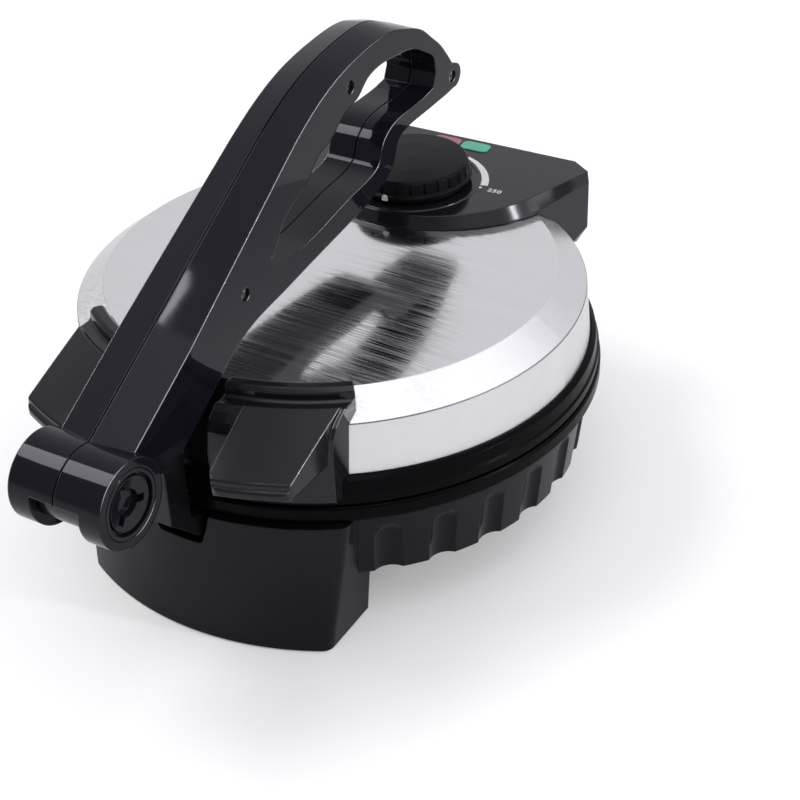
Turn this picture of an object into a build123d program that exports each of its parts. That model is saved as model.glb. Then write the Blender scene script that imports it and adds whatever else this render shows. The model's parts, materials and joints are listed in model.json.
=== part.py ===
"""Electric roti maker: a round flatbread cooker with two heated plates.

The lid is hinged at the back of the base. A long hand lever turns on a bracket at the
front, lies back over the closed lid and presses it down; two wings lift the lid.

Frame: millimetres, +Z up, +Y to the back (lid hinge), +X to the right.
The parts are drawn about the axis of the round plates, at table level. When they are
written they are moved along Y, so that the origin is on the table in the middle of
the cooker's whole length.
"""
from build123d import *
import math
import os

os.makedirs("parts", exist_ok=True)

# ---------------------------------------------------------------- driving sizes
# general
sheet = 1.2                  # steel of the lid cover
moulding = 3.2               # wall of the plastic mouldings
part_gap = 0.3               # gap between neighbouring parts
running_gap = 0.05           # radial play of a shaft in its bush

# plates and heating
plate_radius = 128.0
plate_thickness = 6.0
plate_gap = 0.6              # between the two closed plates
element_inset = 42.0         # ring of the element inside the plate's edge
element_tube_radius = 3.3
element_arc = 330.0
element_pin_radius = 2.2
element_pin_length = 9.0
shield_inset = 10.0          # heat shield inside the plate's edge
shield_sheet = 0.8
shield_flange = 4.5
stud_radius = 3.0
stud_inset = 26.0            # circle of the studs inside the element's ring
cover_sheet = 2.5

# base
table_clearance = 35.0       # underside of the bowl above the table
bowl_height = 40.0
bowl_band = 13.5             # bowl's top edge outside the plates
bowl_taper = 5.0             # bowl narrows by this much to its foot
bowl_wall = 6.0
flute_count = 30
flute_radius = 11.0
flute_depth_top = 3.0
flute_depth_foot = 3.0
flute_foot_to_arch = 24.5    # length of the straight part of a flute
rim_overhang = 4.8           # rim outside the bowl
rim_height = 9.6
foot_radius = 7.0
foot_height = 4.0
foot_standout = 1.0

# front plinth
plinth_foot_reach = 15.5     # plinth's foot outside the bowl's top edge
plinth_top_reach = 8.5
plinth_foot_half_width = 76.0
plinth_top_half_width = 83.0
plinth_depth = 41.5          # plinth's back inside the bowl's top edge
plinth_edge_round = 6.5
notch_top_half_width = 17.5
notch_foot_half_width = 13.5
notch_depth = 17.2

# rear block and lid hinge
block_half_width = 72.0
block_depth = 60.0
block_corner_round = 12.0
gland_standout = 9.0
hinge_behind_ring = 6.8      # hinge axis behind the lid's ring
hinge_z = 90.0
hinge_pin_radius = 3.0
hinge_barrel_radius = 8.0
hinge_barrel_half = 50.0
hinge_lug_width = 11.5
hinge_lug_radius = 8.5
hinge_side_gap = 0.4

# lid
lid_bottom_z = 100.0
lid_side_height = 28.1
lid_chamfer_height = 11.3
lid_crown = 2.6
lid_band = 12.0              # lid's steel outside the plates, at its foot
lid_side_lean = 2.3
lid_chamfer_width = 15.5
ring_overhang = 5.2          # lid ring outside the steel
lid_ring_step = 1.0
split_gap = 0.6              # between the lid ring and the base rim

# wings on the lid
wing_inner_x = 22.6
wing_outer_x = 80.0
wing_bead_inset = 2.3        # bead's back edge outside the edge of the lid's top
wing_bead_width = 8.0
wing_bead_height = 5.6       # bead above the edge of the lid's top
apron_wall = 5.8
apron_drop = 9.0             # apron bottom below the lid's steel edge
ledge_setback = 10.0         # start of the ledge inside the apron's face
ledge_length = 29.5          # tip of the ledge outside the apron's face
ledge_start_height = 40.3    # top of the ledge above the lid's steel edge
ledge_fall = 16.5            # the ledge's top falls by this much to its tip
ledge_tip_height = 8.5
ledge_lip = 1.9              # lip standing out under the ledge's front edge
ledge_inner_start_x = 35.5
ledge_inner_tip_x = 40.5
ledge_outer_x = 78.0
ledge_corner_round = 6.0

# control housing on the lid
deck_above_steel = 48.0      # deck above the lid's steel edge
nose_radius = 80.0
nose_centre_in = 28.0        # centre of the round nose in front of the housing's back
deck_bevel_width = 5.0
deck_bevel_height = 7.0
housing_half_width = 87.0
housing_side_length = 52.0
housing_before_hinge = 2.0   # housing's back in front of the hinge axis
housing_corner_width = 12.0
housing_corner_depth = 8.5
housing_foot_rise = 12.0     # cut corner at the housing's foot
housing_foot_width = 7.0
knob_in = 62.0               # knob axis in front of the housing's back
knob_top_radius = 33.2
knob_band_radius = 34.6
knob_foot_radius = 31.5
knob_height = 14.0
knob_crown = 1.0
knob_rib_count = 26
knob_slot_radius = 1.3
knob_lift = 0.8              # knob above the deck
dial_ring_radius = 39.8      # raised ring on the deck round the knob
dial_ring_width = 2.0
dial_ring_height = 0.6
knob_shaft_radius = 3.0
thermostat_radius = 13.0
thermostat_height = 16.0
thermostat_bush_radius = 5.0
lens_length = 18.0
lens_width = 10.0
lens_gap = 1.4               # between the two lenses
lens_centre_x = 3.5
lens_in = 9.0                # lenses' centre line in front of the housing's back
lens_standout = 0.6

# lever
pivot_reach = 58.5           # pivot axis in front of the apron's face
pivot_z = 128.5
barrel_radius = 22.2
barrel_half = 26.2
barrel_wall = 3.4
knuckle_radius = 17.5
arm_half_width = 13.0
arm_side_gap = 1.0
pivot_pin_radius = 5.0
bush_wall = 2.5
cap_radius = 17.6
cap_depth = 6.4
cap_groove_width = 2.0
cap_eye_radius = 6.0
cap_key_width = 4.0
cap_key_reach = 10.5
lever_angle = 30.2           # slope of the straight beam
spine_offset = 14.8          # spine line from the pivot axis
beam_half_width = 21.0
waist_half_width = 17.4
grip_half_width = 16.0
low_bar_half_width = 13.4    # lower bar of the grip, above its flange
web_half_width = 2.5         # web in the open side of the grip's end
crown_drop = 5.5             # fall of the spine from the seam to the side
seam_gap = 0.3
lever_wall = 3.2
slot_front_angle = 167.5     # ends of the slot that the bracket arm runs in
slot_back_angle = 24.0
screw_radius = 1.5
screw_head_radius = 2.9
screw_head_height = 2.2
screw_recess_radius = 3.4
screw_recess_depth = 4.0

# lever bracket and cover fixings
bracket_leg = 5.5
bracket_foot_z = 40.0
bracket_bolt_x = 7.0
bracket_bolt_z = 47.0
bracket_bolt_radius = 2.5
gland_x = 44.0
gland_z = 40.0
foot_x_front = 60.0
foot_x_back = 54.0
cover_boss_radius = 5.5
cover_screw_inset = 10.5     # cover screws inside the bowl's foot

# derived radii
element_ring_radius = plate_radius - element_inset
stud_circle = element_ring_radius - stud_inset
shield_radius = plate_radius - shield_inset
bowl_top_radius = plate_radius + bowl_band
bowl_foot_radius = bowl_top_radius - bowl_taper
rim_radius = bowl_top_radius + rim_overhang
plinth_foot_radius = bowl_top_radius + plinth_foot_reach
plinth_top_radius = bowl_top_radius + plinth_top_reach
lid_radius = plate_radius + lid_band
lid_shoulder_radius = lid_radius - lid_side_lean
lid_top_radius = lid_shoulder_radius - lid_chamfer_width
lid_ring_radius = lid_radius + ring_overhang
wing_bead_back = lid_top_radius + wing_bead_inset
apron_radius = lid_ring_radius + apron_wall
ledge_start_radius = apron_radius - ledge_setback
ledge_reach = apron_radius + ledge_length

# derived places along Y
plinth_back = plinth_depth - bowl_top_radius
hinge_y = lid_ring_radius + hinge_behind_ring
block_back = hinge_y + hinge_barrel_radius
block_front = block_back - block_depth
housing_back = hinge_y - housing_before_hinge
housing_side_front_y = housing_back - housing_side_length
nose_centre_y = housing_back - nose_centre_in
knob_y = housing_back - knob_in
lens_y = housing_back - lens_in
pivot_y = -apron_radius - pivot_reach
foot_y_front = -plinth_top_radius + 32.0
foot_y_back = block_back - 22.0
middle_y = (pivot_y - barrel_radius + block_back + gland_standout) / 2

# derived levels
bowl_top_z = table_clearance + bowl_height
rim_bottom_z = bowl_top_z
rim_top_z = rim_bottom_z + rim_height
lid_ring_bottom_z = rim_top_z + split_gap
shoulder_z = lid_bottom_z + lid_side_height
lid_edge_z = shoulder_z + lid_chamfer_height
lid_top_z = lid_edge_z + lid_crown
deck_z = lid_bottom_z + deck_above_steel
plate_top_z = lid_ring_bottom_z + 2.0
upper_plate_bottom_z = plate_top_z + plate_gap
cover_top_z = table_clearance + 3.0

# derived for the lever; stations are measured from the pivot along Y
pivot_pin_half = barrel_half - cap_depth - 0.4
beam_to = 59.5
waist_at = 164.5
grip_from = 229.5


# ---------------------------------------------------------------- helpers
def turned(points, arc=360.0):
    """Solid of revolution about +Z from (radius, height) points."""
    section = Plane.XZ * make_face(Polyline(*points, close=True))
    return revolve(section, Axis.Z, arc)


def side_plate(outline, x_from, x_to):
    """Extrude a closed (y, z) outline from x_from to x_to."""
    face = Plane.YZ * make_face(outline)
    return Pos(x_from, 0, 0) * extrude(face, x_to - x_from)


def plan_plate(outline, z_from, z_to):
    """Extrude a closed (x, y) outline from z_from to z_to."""
    return Pos(0, 0, z_from) * extrude(make_face(outline), z_to - z_from)


def x_rod(radius, x_from, x_to, y, z):
    """Round rod along X."""
    rod = Cylinder(radius, x_to - x_from, align=(Align.CENTER, Align.CENTER, Align.MIN))
    return Pos(x_from, y, z) * Rot(0, 90, 0) * rod


def y_rod(radius, y_from, y_to, x, z):
    """Round rod along Y."""
    rod = Cylinder(radius, y_to - y_from, align=(Align.CENTER, Align.CENTER, Align.MIN))
    return Pos(x, y_from, z) * Rot(-90, 0, 0) * rod


def z_rod(radius, z_from, z_to, x=0.0, y=0.0):
    """Round rod along Z."""
    rod = Cylinder(radius, z_to - z_from, align=(Align.CENTER, Align.CENTER, Align.MIN))
    return Pos(x, y, z_from) * rod


def polar(radius, degrees, x=0.0, y=0.0):
    """Point at a radius and angle from (x, y)."""
    turn = math.radians(degrees)
    return (x + radius * math.cos(turn), y + radius * math.sin(turn))


def mirrored(shape):
    """The same shape on the other side of the middle plane."""
    return mirror(shape, about=Plane.YZ)


def save(name, *solids):
    """Write one node, made of one or more separate solids, in the cooker's own frame."""
    moved = [Pos(0, -middle_y, 0) * solid for solid in solids]
    shape = moved[0] if len(moved) == 1 else Compound(children=moved)
    export_step(shape, f"parts/{name}.step")


# ---------------------------------------------------------------- base
def bowl_radius(z):
    """Outer radius of the bowl at a height."""
    return bowl_foot_radius + (bowl_top_radius - bowl_foot_radius) * (z - table_clearance) / bowl_height


def bowl_space(gap):
    """Everything inside the bowl's outer surface, grown by a gap."""
    return turned([
        (0, table_clearance - gap),
        (bowl_foot_radius + gap, table_clearance - gap),
        (bowl_top_radius + gap, bowl_top_z),
        (bowl_top_radius + gap, bowl_top_z + rim_height),
        (0, bowl_top_z + rim_height),
    ])


def flute_cutter(degrees):
    """Round-nosed tool that leaves one arched hollow in the bowl's wall."""
    foot_radius_here = bowl_foot_radius + flute_radius - flute_depth_foot
    arch_z = table_clearance + flute_foot_to_arch
    arch_radius_here = bowl_radius(arch_z) + flute_radius - flute_depth_top
    lean = math.degrees(math.atan2(arch_radius_here - foot_radius_here, flute_foot_to_arch))
    length = flute_foot_to_arch + 10
    tool = Pos(0, 0, -length) * Cylinder(flute_radius, length, align=(Align.CENTER, Align.CENTER, Align.MIN))
    tool = tool + Sphere(flute_radius)
    return Rot(0, 0, degrees) * Pos(0, -arch_radius_here, arch_z) * Rot(lean, 0, 0) * tool


def make_bowl():
    """Fluted wall of the base."""
    wall = turned([
        (bowl_foot_radius, table_clearance),
        (bowl_top_radius, bowl_top_z),
        (bowl_top_radius - bowl_wall, bowl_top_z),
        (bowl_foot_radius - bowl_wall, table_clearance),
    ])
    pitch = 360.0 / flute_count
    plinth_turn = math.degrees(math.asin(plinth_top_half_width / bowl_top_radius))
    block_turn = 180 - math.degrees(math.asin(block_half_width / bowl_top_radius))
    for step in range(flute_count // 2):
        degrees = (step + 0.5) * pitch
        if plinth_turn < degrees < block_turn:
            wall = wall - flute_cutter(degrees) - flute_cutter(-degrees)
    for x, y in cover_screw_places:
        wall = wall + z_rod(cover_boss_radius, cover_top_z, cover_top_z + 14, x, y)
        wall = wall - z_rod(screw_radius, cover_top_z - 1, cover_top_z + 11, x, y)
    for bolt_x in (-bracket_bolt_x, bracket_bolt_x):
        wall = wall - y_rod(bracket_bolt_radius, -bowl_top_radius, -bowl_foot_radius + 20, bolt_x, bracket_bolt_z)
    return wall


def make_rim():
    """Ring on top of the bowl that holds the lower plate."""
    seat_z = plate_top_z - plate_thickness - part_gap
    lip = bowl_top_radius - bowl_wall - 2.5
    return turned([
        (rim_radius - 1.7, rim_bottom_z),
        (rim_radius, rim_bottom_z + 2.0),
        (rim_radius, rim_top_z - 1.2),
        (rim_radius - 0.8, rim_top_z),
        (plate_radius + 4.5, rim_top_z),
        (plate_radius + 0.6, rim_top_z - 2.2),
        (plate_radius + 0.6, seat_z),
        (plate_radius - 3.5, seat_z),
        (plate_radius - 3.5, seat_z - 2.5),
        (lip, seat_z - 2.5),
        (lip, rim_bottom_z),
    ])


def plinth_block(inset, z_from, z_to):
    """Solid body of the front plinth, pulled in by an inset."""
    slope = (plinth_top_radius - plinth_foot_radius) / bowl_top_z
    foot = plinth_foot_radius - inset
    cone = turned([
        (0, z_from),
        (foot + slope * z_from, z_from),
        (foot + slope * z_to, z_to),
        (0, z_to),
    ])
    lean = (plinth_top_half_width - plinth_foot_half_width) / bowl_top_z
    low = plinth_foot_half_width - inset + lean * z_from
    high = plinth_foot_half_width - inset + lean * z_to
    ends = Plane.XZ * make_face(Polyline((-low, z_from), (low, z_from), (high, z_to), (-high, z_to), close=True))
    reach = plinth_foot_radius + 20
    sector = Pos(0, plinth_back - inset, 0) * extrude(ends, reach + plinth_back)
    return cone & sector


def make_plinth():
    """Front foot of the base, with the notch that the lever bracket rises from."""
    top_z = bowl_top_z - part_gap
    body = plinth_block(0, foot_standout, top_z)
    ridges = body.edges().filter_by(lambda e: e.center().Y < plinth_back - 15 and e.length > bowl_height)
    ridges = ridges.filter_by(lambda e: abs(e.center().X) > plinth_foot_half_width - 5)
    body = fillet(ridges, plinth_edge_round)
    roof = z_rod(bowl_foot_radius + moulding, table_clearance - part_gap - moulding, table_clearance)
    hollow = plinth_block(moulding, foot_standout + moulding, top_z - moulding) - roof
    body = body - hollow - bowl_space(part_gap)
    notch = Plane.XZ * make_face(Polyline(
        (-notch_foot_half_width, top_z - notch_depth), (notch_foot_half_width, top_z - notch_depth),
        (notch_top_half_width, top_z + 1), (-notch_top_half_width, top_z + 1), close=True))
    notch = fillet(notch.vertices().sort_by(Axis.Z)[:2], 3.5)
    body = body - Pos(0, -bowl_top_radius + 10, 0) * extrude(notch, plinth_foot_reach + 30)
    for side in (-1, 1):
        body = body - z_rod(foot_radius, 0, foot_height, side * foot_x_front, foot_y_front)
    return body


def make_rear_block():
    """Rear foot of the base, under the lid hinge."""
    def outline(inset):
        half = block_half_width - inset
        depth = block_back - block_front - 2 * inset
        corner = block_corner_round - inset
        shape = Pos(0, block_front + inset + depth / 2) * RectangleRounded(2 * half, depth, corner)
        return shape
    body = Pos(0, 0, foot_standout) * extrude(outline(0), bowl_top_z - part_gap - foot_standout)
    hollow_top = bowl_top_z - part_gap - moulding
    hollow = Pos(0, 0, foot_standout + moulding) * extrude(outline(moulding), hollow_top - foot_standout - moulding)
    hollow = hollow - bowl_space(part_gap + moulding)
    body = body - hollow - bowl_space(part_gap)
    for side in (-1, 1):
        body = body - z_rod(foot_radius, 0, foot_height, side * foot_x_back, foot_y_back)
    return body


def make_hinge_lug(side):
    """Lug on the rear block that carries one end of the hinge pin."""
    inner = hinge_barrel_half + hinge_side_gap
    outer = inner + hinge_lug_width
    foot_z = bowl_top_z - part_gap
    post = Pos(0, hinge_y, (foot_z + hinge_z) / 2) * Box(
        hinge_lug_width, 2 * hinge_lug_radius, hinge_z - foot_z, align=(Align.MIN, Align.CENTER, Align.CENTER))
    lug = Pos(inner, 0, 0) * post + x_rod(hinge_lug_radius, inner, outer, hinge_y, hinge_z)
    lug = lug - x_rod(hinge_pin_radius, inner - 1, outer + 1, hinge_y, hinge_z)
    return lug if side > 0 else mirrored(lug)


def make_cord_gland():
    """Blind gland on the back of the rear block where the cord enters."""
    tip = block_back + gland_standout
    body = Plane.YZ * make_face(Polyline(
        (block_back, 0), (block_back, 9.5), (block_back + 2.5, 9.5), (tip, 7.2), (tip, 3.6),
        (block_back + 3, 3.6), (block_back + 3, 0), close=True))
    return Pos(gland_x, 0, gland_z) * revolve(body, Axis.Y)


# ---------------------------------------------------------------- heating
def heater_plate():
    """Cast plate with its cooking face at z = 0 and its back upward."""
    return turned([
        (0, 0),
        (plate_radius - 1.2, 0),
        (plate_radius, 1.2),
        (plate_radius, plate_thickness - 1.5),
        (plate_radius - 1.5, plate_thickness),
        (element_ring_radius + 7, plate_thickness),
        (element_ring_radius + 6, plate_thickness + 1.8),
        (element_ring_radius - 6, plate_thickness + 1.8),
        (element_ring_radius - 7, plate_thickness),
        (0, plate_thickness),
    ])


def heater_element():
    """Tubular ring element on the back of a plate whose cooking face is at z = 0."""
    centre_z = plate_thickness + 1.8 + element_tube_radius + 0.05
    spare = (360.0 - element_arc) / 2
    tube = Plane.XZ * Pos(element_ring_radius, centre_z) * Circle(element_tube_radius)
    ring = Rot(0, 0, 90 + spare) * revolve(tube, Axis.Z, element_arc)
    for degrees in (90 + spare, 90 - spare):
        x, y = polar(element_ring_radius, degrees)
        ring = ring + Pos(x, y, centre_z) * Sphere(element_tube_radius)
        ring = ring + z_rod(element_pin_radius, centre_z, centre_z + element_pin_length, x, y)
    return ring


def heater_shield():
    """Dished reflector behind an element, with clearance holes."""
    floor = plate_thickness + 1.8 + 2 * element_tube_radius + 2.0
    flange = plate_thickness + part_gap
    dish = turned([
        (0, floor),
        (shield_radius - 4, floor),
        (shield_radius, flange),
        (shield_radius + shield_flange, flange),
        (shield_radius + shield_flange, flange + shield_sheet),
        (shield_radius + shield_sheet, flange + shield_sheet),
        (shield_radius - 4 + shield_sheet, floor + shield_sheet),
        (0, floor + shield_sheet),
    ])
    spare = (360.0 - element_arc) / 2
    for degrees in (90 + spare, 90 - spare):
        x, y = polar(element_ring_radius, degrees)
        dish = dish - z_rod(element_pin_radius + 1.5, floor - 1, floor + 3, x, y)
    for step in range(3):
        x, y = polar(stud_circle, 30 + 120 * step)
        dish = dish - z_rod(stud_radius + 0.5, floor - 1, floor + 3, x, y)
    return dish


def heater_studs(length):
    """Three fixing studs standing on the back of a plate."""
    studs = []
    for step in range(3):
        x, y = polar(stud_circle, 30 + 120 * step)
        studs.append(z_rod(stud_radius, plate_thickness, plate_thickness + length, x, y))
    return studs


def place_upper(shape):
    """Move a plate-frame shape to the upper plate."""
    return Pos(0, 0, upper_plate_bottom_z) * shape


def place_lower(shape):
    """Move a plate-frame shape to the lower plate, cooking face up."""
    return Pos(0, 0, plate_top_z) * Rot(180, 0, 0) * shape


def make_bottom_cover():
    """Cover that closes the bowl from below, with two rows of vents."""
    radius = bowl_foot_radius - bowl_wall - part_gap
    cover = z_rod(radius, cover_top_z - cover_sheet, cover_top_z)
    for x, y in cover_screw_places:
        cover = cover - z_rod(screw_radius + 0.2, cover_top_z - 5, cover_top_z + 5, x, y)
    for row in range(2):
        for step in range(-3, 4):
            slot = Pos(step * 14, -22 + 44 * row, table_clearance + 1) * extrude(
                Rot(0, 0, 90) * SlotOverall(30, 5), 10, both=True)
            cover = cover - slot
    return cover


# ---------------------------------------------------------------- lid
def lid_profile(inset):
    """Outer line of the lid's steel from the middle to the edge, pulled in by an inset."""
    return [
        (lid_top_radius - 0.6 * inset, lid_edge_z - inset),
        (lid_shoulder_radius - inset, shoulder_z - 0.5 * inset),
        (lid_radius - inset, lid_bottom_z),
    ]


def lid_space(gap):
    """Everything inside the lid's steel cover, grown by a gap."""
    edge, shoulder, foot = lid_profile(-gap)
    crown = ThreePointArc((0, lid_top_z + gap), (edge[0] / 2, lid_edge_z + gap + 0.75 * lid_crown), edge)
    rest = Polyline(edge, shoulder, foot, (0, lid_bottom_z), (0, lid_top_z + gap))
    return revolve(Plane.XZ * make_face(crown + rest), Axis.Z)


def make_lid_cover():
    """Domed steel cover of the lid."""
    cover = lid_space(0) - lid_space(-sheet)
    cover = cover - z_rod(thermostat_bush_radius + 1, lid_edge_z - 10, lid_top_z + 5, 0, knob_y)
    return cover


def make_lid_ring():
    """Plastic ring under the steel that holds the upper plate."""
    seat_z = upper_plate_bottom_z + plate_thickness
    return turned([
        (lid_ring_radius, lid_ring_bottom_z + 1.0),
        (lid_ring_radius, lid_ring_bottom_z + 5.6),
        (lid_ring_radius - lid_ring_step, lid_ring_bottom_z + 6.6),
        (lid_ring_radius - lid_ring_step - 0.8, lid_bottom_z - 1.6),
        (lid_radius + 1.2, lid_bottom_z),
        (lid_radius - 6.0, lid_bottom_z),
        (lid_radius - 6.0, seat_z + 3.0),
        (plate_radius - 4.4, seat_z + 3.0),
        (plate_radius - 4.4, seat_z),
        (plate_radius + 0.6, seat_z),
        (plate_radius + 0.6, lid_ring_bottom_z + 3.2),
        (plate_radius + 4.5, lid_ring_bottom_z),
        (lid_ring_radius - 1.0, lid_ring_bottom_z),
    ])


def make_wing(side):
    """One lifting wing: a skin over the lid's shoulder with a bead, an apron and a ledge."""
    gap = part_gap
    edge, shoulder, foot = lid_profile(-gap)
    fall = (edge[1] - shoulder[1]) / (shoulder[0] - edge[0])
    under_bead = edge[1] - fall * (wing_bead_back - edge[0])
    bead_top = lid_edge_z + wing_bead_height
    bead_front = wing_bead_back + wing_bead_width
    valley = lid_edge_z - 1.0
    ledge_z = lid_bottom_z + ledge_start_height
    apron_z = lid_bottom_z - apron_drop
    skin = turned([
        (wing_bead_back, under_bead),
        shoulder,
        foot,
        (lid_radius + gap, lid_bottom_z + gap),
        (lid_ring_radius + gap, lid_bottom_z + gap),
        (lid_ring_radius + gap, apron_z),
        (apron_radius - 1.0, apron_z),
        (apron_radius, apron_z + 1.0),
        (apron_radius, apron_z + 27.0),
        (apron_radius - 1.6, apron_z + 37.0),
        (apron_radius - 4.0, apron_z + 42.0),
        (apron_radius - 7.5, apron_z + 45.2),
        (ledge_start_radius - 1.0, ledge_z - 1.4),
        (ledge_start_radius - 2.6, valley),
        (bead_front + 1.8, valley),
        (bead_front + 0.4, valley + 1.0),
        (bead_front - 0.2, bead_top - 2.0),
        (bead_front - 2.2, bead_top),
        (wing_bead_back + 1.4, bead_top),
        (wing_bead_back, bead_top - 1.6),
    ])
    near = -0.5 * lid_top_radius
    far = -ledge_reach - 10
    end_y = -math.sqrt(bead_front ** 2 - wing_outer_x ** 2)
    sector = plan_plate(Polyline(
        (wing_inner_x, near), (wing_inner_x, far), (wing_outer_x, far), (wing_outer_x, end_y),
        (wing_outer_x - 6, end_y + 7), (wing_outer_x - 20, near), close=True), rim_bottom_z, deck_z)
    wing = skin & sector

    tip_z = ledge_z - ledge_fall
    tip_foot = tip_z - ledge_tip_height
    wedge = turned([
        (ledge_start_radius - 2.0, valley),
        (ledge_start_radius - 1.0, ledge_z - 0.4),
        (ledge_start_radius, ledge_z),
        (ledge_reach - ledge_lip - 0.8, tip_z),
        (ledge_reach - ledge_lip, tip_z - 0.8),
        (ledge_reach - ledge_lip, tip_z - 3.2),
        (ledge_reach - 0.8, tip_z - 3.8),
        (ledge_reach, tip_z - 4.8),
        (ledge_reach, tip_foot + 1.0),
        (ledge_reach - 1.0, tip_foot),
        (apron_radius - 2.0, tip_foot),
        (lid_radius + 3.0, tip_foot + 8.0),
    ])
    inner_y = -math.sqrt(ledge_reach ** 2 - ledge_inner_tip_x ** 2)
    outer_y = -math.sqrt(ledge_reach ** 2 - ledge_outer_x ** 2)
    middle = polar(ledge_reach, -90 + math.degrees(math.asin(0.5 * (ledge_inner_tip_x + ledge_outer_x) / ledge_reach)))
    start_y = -bead_front * 0.88
    outline = Line((ledge_inner_start_x, start_y), (ledge_inner_tip_x, inner_y))
    outline = outline + ThreePointArc((ledge_inner_tip_x, inner_y), middle, (ledge_outer_x, outer_y))
    outline = outline + Line((ledge_outer_x, outer_y), (ledge_outer_x + 0.6, end_y))
    outline = outline + Line((ledge_outer_x + 0.6, end_y), (ledge_inner_start_x, start_y))
    plan = make_face(outline)
    plan = fillet(plan.vertices().filter_by(lambda v: v.Y < outer_y + 1), ledge_corner_round)
    ledge = (Pos(0, 0, rim_bottom_z) * extrude(plan, deck_z - rim_bottom_z)) & wedge
    wing = wing + ledge
    return wing if side > 0 else mirrored(wing)


def housing_outline(nose_inset, side_inset, back_inset):
    """Plan of the control housing: a round nose and a wide straight back."""
    nose = nose_radius - nose_inset
    half = housing_half_width - side_inset
    back = housing_back - back_inset
    join = math.degrees(math.asin((nose_centre_y - housing_side_front_y) / nose_radius))
    tangent = polar(nose, -join, 0, nose_centre_y)
    corner_y = back - housing_corner_depth
    corner_x = half - housing_corner_width
    arc = ThreePointArc((-tangent[0], tangent[1]), (0, nose_centre_y - nose), tangent)
    rest = Polyline(tangent, (half, corner_y), (corner_x, back), (-corner_x, back), (-half, corner_y),
                    (-tangent[0], tangent[1]))
    return make_face(arc + rest)


def make_housing():
    """Control housing on the lid, open below."""
    bevel_z = deck_z - deck_bevel_height
    foot_z = lid_bottom_z + part_gap
    body = Pos(0, 0, foot_z) * extrude(housing_outline(0, 0, 0), bevel_z - foot_z)
    low = Pos(0, 0, bevel_z) * housing_outline(0, 0, 0)
    high = Pos(0, 0, deck_z) * housing_outline(deck_bevel_width, 1.0, 0)
    body = body + loft([low, high], ruled=True)
    inset = moulding
    hollow = Pos(0, 0, foot_z - 1) * extrude(housing_outline(inset, inset, inset), bevel_z - foot_z - 1)
    inset = moulding + deck_bevel_width
    hollow = hollow + Pos(0, 0, bevel_z - 5) * extrude(
        housing_outline(inset, inset, moulding), deck_z - moulding - bevel_z + 5)
    body = body - hollow - lid_space(part_gap)
    ring_room = z_rod(lid_ring_radius + 0.5, foot_z - 5, lid_bottom_z)
    body = body - ring_room
    for side in (-1, 1):
        low_x = side * (housing_half_width - housing_foot_width)
        far_x = side * (housing_half_width + 8)
        rise = housing_foot_rise * (housing_foot_width + 8) / housing_foot_width
        wedge = Plane.XZ * make_face(Polyline(
            (low_x, foot_z), (far_x, foot_z + rise), (far_x, foot_z - 5), (low_x, foot_z - 5), close=True))
        body = body - Pos(0, housing_back + 10, 0) * extrude(wedge, housing_side_length + 10)
    ring = z_rod(dial_ring_radius, deck_z - 1, deck_z + dial_ring_height, 0, knob_y)
    body = body + ring - z_rod(dial_ring_radius - dial_ring_width, deck_z, deck_z + 5, 0, knob_y)
    body = body - z_rod(thermostat_bush_radius + 0.2, deck_z - 10, deck_z + 5, 0, knob_y)
    for index in (-1, 1):
        opening = lens_plan(index, part_gap / 2)
        body = body - Pos(0, 0, deck_z - 12) * extrude(opening, 20)
    return body


def make_housing_floor():
    """Floor of the control housing behind the lid's steel."""
    inset = moulding + part_gap
    top = lid_bottom_z + part_gap + 2.2
    floor = Pos(0, 0, lid_bottom_z + part_gap) * extrude(housing_outline(inset, inset + 5.5, inset), 2.2)
    return floor - z_rod(lid_radius + 2 * part_gap, 50, top + 5)


def lens_plan(index, grow):
    """Plan of one lamp lens; index -1 is the left one, 1 the right one."""
    x = lens_centre_x + index * (lens_length + lens_gap) / 2
    return Pos(x, lens_y) * RectangleRounded(lens_length + 2 * grow, lens_width + 2 * grow, 3.6 + grow)


def make_lens(index):
    """Lens in the deck with a flange under it."""
    top = Pos(0, 0, deck_z - moulding) * extrude(lens_plan(index, 0), moulding + lens_standout)
    return top


def make_lamp(index):
    """Small lamp under a lens."""
    x = lens_centre_x + index * (lens_length + lens_gap) / 2
    top = deck_z - moulding - part_gap
    return z_rod(2.4, top - 9, top, x, lens_y - 1.5)


def make_hinge_bracket():
    """Bracket under the housing with the hinge barrel of the lid."""
    barrel = x_rod(hinge_barrel_radius, -hinge_barrel_half, hinge_barrel_half, hinge_y, hinge_z)
    flange_front = lid_ring_radius - 15
    flange_back = hinge_y + 6
    flange = Pos(0, 0, lid_bottom_z - 4) * extrude(
        Pos(0, (flange_front + flange_back) / 2) * Rectangle(2 * hinge_barrel_half, flange_back - flange_front), 4)
    web = Pos(0, hinge_y - 1, (hinge_z + lid_bottom_z) / 2) * Box(2 * hinge_barrel_half, 10, lid_bottom_z - hinge_z)
    body = barrel + flange + web
    body = body - z_rod(lid_ring_radius + part_gap, 50, lid_bottom_z + 5)
    return body - x_rod(hinge_pin_radius + running_gap, -hinge_end, hinge_end, hinge_y, hinge_z)


def make_thermostat():
    """Thermostat under the steel, with its threaded bush through the deck."""
    top = lid_edge_z - sheet - 1.5
    body = z_rod(thermostat_radius, top - thermostat_height, top, 0, knob_y)
    bush = z_rod(thermostat_bush_radius, top - 0.5, deck_z + 0.4, 0, knob_y)
    bore = z_rod(knob_shaft_radius + running_gap, top - 2, deck_z + 5, 0, knob_y)
    return body + bush - bore


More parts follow.
